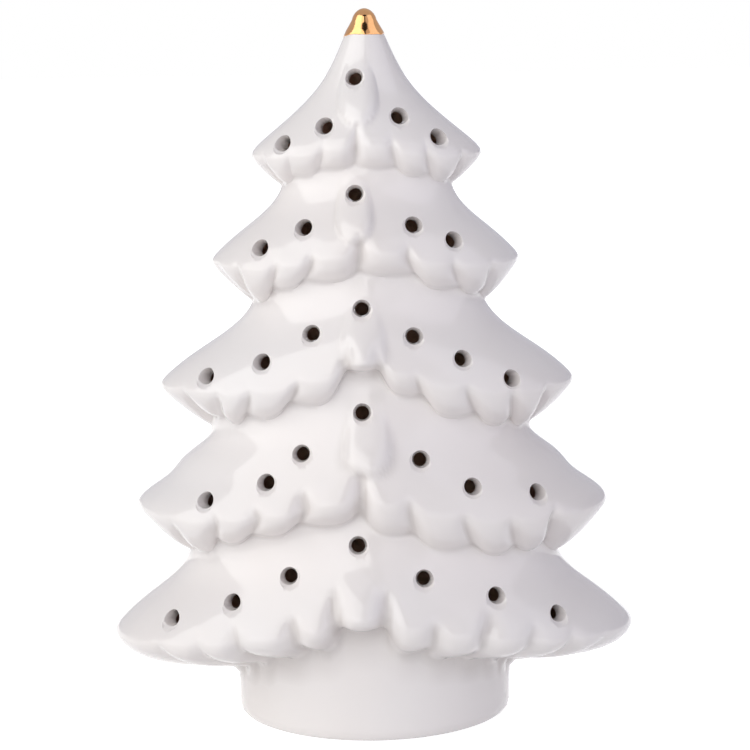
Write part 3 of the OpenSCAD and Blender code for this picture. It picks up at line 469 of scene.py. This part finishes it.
class Finish:
    """One material in the making, or the world's own surroundings."""

    def __init__(self, name, world=None):
        self.material = world or bpy.data.materials.new(name)
        self.material.use_nodes = True
        self.nodes, self.links = self.material.node_tree.nodes, self.material.node_tree.links
        self.nodes.clear()
        self.place = self.add("ShaderNodeTexCoord", out="Generated" if world else "Object")

    def add(self, kind, settings=None, sockets=None, out=0):
        """Adds a node with its settings first, then the values or wires of its sockets."""
        node = self.nodes.new(kind)
        for name, value in (settings or {}).items():
            setattr(node, name, value)
        for name, value in (sockets or {}).items():
            if isinstance(value, Wire):
                self.links.new(value.socket, node.inputs[name])
            else:
                node.inputs[name].default_value = value
        return Wire(self, node.outputs[out])

    def noise(self, scale, detail=2.0, roughness=0.5, place=None):
        """Cloudy noise over the piece, of so many waves to the metre."""
        return self.add("ShaderNodeTexNoise", None, {
            "Vector": place or self.place, "Scale": scale, "Detail": detail, "Roughness": roughness}, "Fac")

    def attribute(self, name):
        """A value that the mesh carries."""
        settings = {"attribute_type": "GEOMETRY", "attribute_name": name}
        return self.add("ShaderNodeAttribute", settings, None, "Fac")

    def blend(self, share, low, high):
        """A colour between two colours."""
        return self.add("ShaderNodeMix", {"data_type": "RGBA"}, {0: share, 6: low, 7: high}, 2)

    def span(self, value, low, high, to_low, to_high):
        """A value carried from one span to another and held at its ends."""
        return self.add("ShaderNodeMapRange", {"clamp": True}, {
            "Value": value, "From Min": low, "From Max": high, "To Min": to_low, "To Max": to_high})

    def bump(self, height, distance, over=None):
        """A relief of so many metres, over another relief where one is given."""
        sockets = {"Height": height, "Distance": distance, "Strength": 1.0}
        if over:
            sockets["Normal"] = over
        return self.add("ShaderNodeBump", None, sockets)

    def ray(self, kind):
        """One where the ray that arrives is of a kind."""
        return self.add("ShaderNodeLightPath", None, None, f"Is {kind} Ray")

    def to_surface(self, shader, kind="ShaderNodeOutputMaterial"):
        """Joins a shader to the output."""
        self.links.new(shader.socket, self.nodes.new(kind).inputs["Surface"])

    def done(self, **sockets):
        """Joins the wires and values to the surface shader and hands back the material."""
        names = {key: key.replace("_", " ").title().replace("Ior", "IOR") for key in sockets}
        values = {names[key]: value for key, value in sockets.items()}
        self.to_surface(self.add("ShaderNodeBsdfPrincipled", None, values))
        return self.material


def white_glaze():
    """Clear glaze over white porcelain, with painted shade that greys it in the creases and hollows: slow
    waves, a faint peel, a cool tinge here and there and rare specks. Inside, the bare body is rough and warm."""
    glaze = Finish("white_glaze")
    tinge = glaze.span(glaze.noise(22, 3), 0.35, 0.65, 0, 1)
    body = glaze.blend(tinge, (0.812, 0.766, 0.748, 1), (0.825, 0.790, 0.780, 1))
    spots = {"Vector": glaze.place, "Scale": 95, "Randomness": 1}
    near = glaze.add("ShaderNodeTexVoronoi", {"feature": "F1"}, spots, "Distance")
    lot = glaze.add("ShaderNodeSeparateColor", None, {
        "Color": glaze.add("ShaderNodeTexVoronoi", {"feature": "F1"}, spots, "Color")}, "Red")
    speck = glaze.span(near, 0.012, 0.03, 1, 0) * (lot > 0.965)
    specked = glaze.blend(speck * 0.75, body, (0.28, 0.22, 0.17, 1))
    # Painted shade: the body colour blended towards grey by how deep a point lies in a crease or hollow
    shaded_body = glaze.blend(glaze.attribute("painted_shade") * 0.42, specked, (0.5, 0.45, 0.425, 1))
    baked = glaze.span(glaze.noise(90, 4), 0.3, 0.7, 0, 1)
    bisque = glaze.blend(baked, (0.77, 0.57, 0.45, 1), (0.83, 0.63, 0.5, 1))
    inside = glaze.attribute("inside")
    gloss = glaze.span(glaze.noise(150, 3), 0.3, 0.7, 0.05, 0.1)
    waves = glaze.bump(glaze.noise(60, 1.5), 0.00009)
    peel = glaze.bump(glaze.noise(420, 2), 0.0000035, waves)
    return glaze.done(base_color=glaze.blend(inside, shaded_body, bisque), roughness=gloss + 0.6 * inside,
                      normal=peel, ior=1.58)


def gold_lustre():
    """Fired gold: warm metal with faint brush streaks and thin patches."""
    gold = Finish("gold_lustre")
    thin = gold.span(gold.noise(330, 4, 0.6), 0.3, 0.7, 0, 1)
    colour = gold.blend(thin, (0.80, 0.40, 0.16, 1), (0.88, 0.50, 0.22, 1))
    return gold.done(base_color=colour, metallic=1.0, roughness=gold.span(thin, 0, 1, 0.07, 0.16),
                     normal=gold.bump(gold.noise(260, 3), 0.00004))


def moulded_plastic(name, light, dark, rough=0.42, grain=900):
    """Moulded plastic with a spark grain and slow colour drift."""
    plastic = Finish(name)
    colour = plastic.blend(plastic.span(plastic.noise(60, 2), 0.35, 0.65, 0, 1), light, dark)
    spark = plastic.noise(grain, 2, 0.6)
    gloss = plastic.span(spark, 0.3, 0.7, rough - 0.06, rough + 0.08)
    return plastic.done(base_color=colour, roughness=gloss, normal=plastic.bump(spark, 0.00002), ior=1.46)


def plated_metal(name, light, dark, rough, stretch=(1, 1, 12)):
    """Plated metal with fine lines along one direction and a few dull spots."""
    metal = Finish(name)
    drawn = metal.add("ShaderNodeMapping", None, {"Vector": metal.place, "Scale": stretch})
    lines = metal.noise(700, 3, 0.6, drawn)
    dull = metal.span(metal.noise(240, 3), 0.45, 0.7, 0, 1)
    gloss = metal.span(lines, 0.3, 0.7, rough - 0.05, rough + 0.1)
    return metal.done(base_color=metal.blend(dull, light, dark), metallic=1.0, roughness=gloss,
                      normal=metal.bump(lines, 0.000006))


def clear_epoxy():
    """The bulb's warm clear epoxy, cloudy with faint flow lines."""
    epoxy = Finish("bulb_lens")
    cloud = epoxy.noise(380, 3)
    colour = epoxy.blend(epoxy.span(cloud, 0.3, 0.7, 0, 1), (0.95, 0.84, 0.52, 1), (0.98, 0.9, 0.66, 1))
    return epoxy.done(base_color=colour, roughness=epoxy.span(cloud, 0.3, 0.7, 0.05, 0.12),
                      transmission_weight=0.6, ior=1.52, normal=epoxy.bump(cloud, 0.00001))


FINISHES = {
    "white_glaze": white_glaze(),
    "gold_lustre": gold_lustre(),
    "cream_plastic": moulded_plastic("cream_plastic", (0.80, 0.77, 0.69, 1), (0.77, 0.74, 0.66, 1)),
    "soft_seal": moulded_plastic("soft_seal", (0.55, 0.55, 0.53, 1), (0.5, 0.5, 0.49, 1), 0.55, 500),
    "screw_steel": plated_metal("screw_steel", (0.62, 0.62, 0.64, 1), (0.5, 0.5, 0.52, 1), 0.22),
    "cell_steel": plated_metal("cell_steel", (0.7, 0.7, 0.7, 1), (0.6, 0.6, 0.6, 1), 0.28, (12, 1, 1)),
    "contact_nickel": plated_metal("contact_nickel", (0.68, 0.65, 0.58, 1), (0.56, 0.53, 0.46, 1), 0.2),
    "board_green": moulded_plastic("board_green", (0.03, 0.2, 0.09, 1), (0.02, 0.15, 0.07, 1), 0.25, 300),
    "bulb_lens": clear_epoxy(),
    "resistor_tan": moulded_plastic("resistor_tan", (0.62, 0.47, 0.3, 1), (0.55, 0.41, 0.26, 1), 0.3, 700),
    "switch_black": moulded_plastic("switch_black", (0.03, 0.03, 0.03, 1), (0.045, 0.045, 0.045, 1), 0.38),
    "red_sleeve": moulded_plastic("red_sleeve", (0.5, 0.02, 0.02, 1), (0.42, 0.02, 0.02, 1), 0.35, 500),
    "black_sleeve": moulded_plastic(
        "black_sleeve", (0.02, 0.02, 0.02, 1), (0.035, 0.035, 0.035, 1), 0.35, 500)}


def dress(piece, slot):
    """Gives a piece its one finish."""
    piece.data.materials.clear()
    piece.data.materials.append(FINISHES[slot])


for part in frame["record"]["subparts"]:
    dress(frame["nodes"][part["node"]], part["material_slot"])

# Porcelain tree
outside, porcelain_top = tree_outside(), TIP_Z + TIP_DROP
porcelain = new_piece("porcelain_tree", *closed_body(outside, (0, 0, porcelain_top), (0, 0, 0)))
# Painted shade for the creases and hollows: a point value from how deep each point lies below a smoother
# surface
painted_shade = np.concatenate([[0], crease_shade_depth(outside).ravel(), [0]])
porcelain.data.attributes.new("painted_shade", "FLOAT", "POINT").data.foreach_set("value", painted_shade)
hollow_top, opening_top, recess_end = TREE_H - 3.2 * WALL, FOOT_FLOOR_Z + 1.5, -0.6
hollow = new_piece("hollow", *closed_body(tree_hollow(), (0, 0, hollow_top), (0, 0, FOOT_FLOOR_Z)))
foot_hole = new_piece("foot_hole", *turned_profile([
    (0, opening_top), (OPENING_R, opening_top), (OPENING_R, FOOT_FLOOR_Z + 0.4), (OPENING_R, RECESS_Z + 0.4),
    (OPENING_R + 0.1, RECESS_Z + 0.15), (OPENING_R + 0.4, RECESS_Z), (RECESS_R - 0.5, RECESS_Z),
    (RECESS_R - 0.1, RECESS_Z - 0.15), (RECESS_R, RECESS_Z - 0.5), (RECESS_R, 0.8),
    (RECESS_R + 0.5, recess_end), (0, recess_end)]))
punches = new_piece("punches", *hole_cutters())
cut_by(porcelain, [hollow, foot_hole, punches])
porcelain.data.shade_smooth()
porcelain.data.set_sharp_from_angle(angle=math.radians(50))
dress(porcelain, "white_glaze")
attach(porcelain, "tree")
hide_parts("tree_shell")

# Gilding
gilding = new_piece("gilding", *closed_body(
    gold_leaf(), (0, 0, porcelain_top + GILT_T), (0, 0, porcelain_top + COAT_GAP)))
dress(gilding, "gold_lustre")
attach(gilding, "tree")
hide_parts("gold_tip")


# Lamps, floor, world and camera
def wall_of_light(name, turn, away, width, height, radiance, colour, mirrored=True):
    """An upright lamp that stands on the floor and faces the tree: its turn from the front in degrees,
    its distance, the brightness of its face, where one is white, and whether gloss mirrors it."""
    lamp = bpy.data.lights.new(name, "AREA")
    lamp.shape, lamp.size, lamp.size_y, lamp.color = "RECTANGLE", width, height, colour
    lamp.energy = radiance * math.pi * width * height
    holder = bpy.data.objects.new(name, lamp)
    turn = math.radians(turn)
    holder.location = (away * math.sin(turn), -away * math.cos(turn), height / 2)
    holder.rotation_euler = (math.radians(90), 0, turn)
    holder.visible_camera, holder.visible_glossy = False, mirrored
    bpy.context.scene.collection.objects.link(holder)


wall_of_light("left_diffuser", -46, 0.95, 1.9, 1.5, 1.68, (0.995, 1, 0.967))
wall_of_light("right_diffuser", 54, 0.95, 1.7, 1.5, 0.70, (0.905, 0.89, 1))
wall_of_light("back_diffuser", 180, 1.1, 1.3, 1.6, 1.35, (0.97, 0.97, 1), False)

# The floor is plain paint that glows white where it is seen or mirrored, a little less around the tree, so
# that its shadow shows. It is open under the foot and see-through from below, which shows the underside
FLOOR_HALF, FLOOR_Z, FLOOR_OPENING = 6, -0.00005, 0.031
NEAR_GLOW, NEAR, FAR = 0.72, 0.25, 1.2
floor_mesh = bpy.data.meshes.new("floor")
corners = [(FLOOR_HALF * x, FLOOR_HALF * y, FLOOR_Z) for x, y in ((-1, -1), (1, -1), (1, 1), (-1, 1))]
floor_mesh.from_pydata(corners, [], [(0, 1, 2, 3)])
floor = bpy.data.objects.new("floor", floor_mesh)
bpy.context.scene.collection.objects.link(floor)
ground = Finish("floor_paint")
seen = ground.ray("Camera") + ground.ray("Glossy") + ground.ray("Transmission")
away = ground.add("ShaderNodeVectorMath", {"operation": "LENGTH"}, {0: ground.place}, "Value")
paint = ground.add("ShaderNodeBsdfDiffuse", None, {"Color": (0.86, 0.86, 0.86, 1)})
glow = ground.add("ShaderNodeEmission", None, {
    "Color": (1, 1, 1, 1), "Strength": seen * ground.span(away, NEAR, FAR, NEAR_GLOW, 1)})
below = ground.add("ShaderNodeNewGeometry", out="Backfacing")
ground.to_surface(ground.add("ShaderNodeMixShader", None, {
    0: below + (1 - below) * (away < FLOOR_OPENING),
    1: ground.add("ShaderNodeAddShader", None, {0: paint, 1: glow}),
    2: ground.add("ShaderNodeBsdfTransparent")}))
floor_mesh.materials.append(ground.material)

# The world is white where it is seen. Gloss mirrors a dim room with a dark gap above the camera, and a weak
# cool light comes from all round, with more of it from below the floor
GAP_TOWARDS, GAP_EDGE, GAP_CORE = (0.09, -0.80, 0.59), 0.86, 0.9
ROOM_LEVEL, GAP_LEVEL, ROUND_LIGHT, MORE_BELOW = 0.65, 0.03, 0.22, 0.55
world = bpy.data.worlds.new("studio")
bpy.context.scene.world = world
sky = Finish("studio", world)
seen, mirrored = sky.ray("Camera") + sky.ray("Transmission"), sky.ray("Glossy")
towards = sky.add("ShaderNodeVectorMath", {"operation": "DOT_PRODUCT"}, {
    0: sky.place, 1: GAP_TOWARDS}, "Value")
room = sky.span(towards, GAP_EDGE, GAP_CORE, ROOM_LEVEL, GAP_LEVEL)
beneath = sky.add("ShaderNodeSeparateXYZ", None, {0: sky.place}, "Z") < 0
unseen = mirrored * room + (1 - mirrored) * (ROUND_LIGHT + MORE_BELOW * beneath)
sky.to_surface(sky.add("ShaderNodeBackground", None, {
    "Color": sky.blend(seen, (0.9, 0.9, 1, 1), (1, 1, 1, 1)), "Strength": seen + (1 - seen) * unseen}),
    "ShaderNodeOutputWorld")

# The camera stands at the photograph's height and distance, with its tilt and its slight roll
FRAME_PX, FOCAL_PX, CENTRE_SHIFT_PX, PITCH, ROLL = 750, 2444.04, 5.2, 8.54, 0.9
SENSOR_W, CAMERA_AT = 36, (0, -0.603457, 0.175)
lens = bpy.data.cameras.new("camera")
camera = bpy.data.objects.new("camera", lens)
bpy.context.scene.collection.objects.link(camera)
lens.sensor_width, lens.lens = SENSOR_W, SENSOR_W * FOCAL_PX / FRAME_PX
lens.clip_start, lens.clip_end = 0.01, 30
camera.matrix_world = Matrix.Translation(CAMERA_AT) \
    @ Matrix.Rotation(-math.atan(CENTRE_SHIFT_PX / FOCAL_PX), 4, "Z") \
    @ Matrix.Rotation(math.radians(90 - PITCH), 4, "X") @ Matrix.Rotation(-math.radians(ROLL), 4, "Z")
bpy.context.scene.camera = camera
bpy.context.scene.view_settings.view_transform = "Standard"
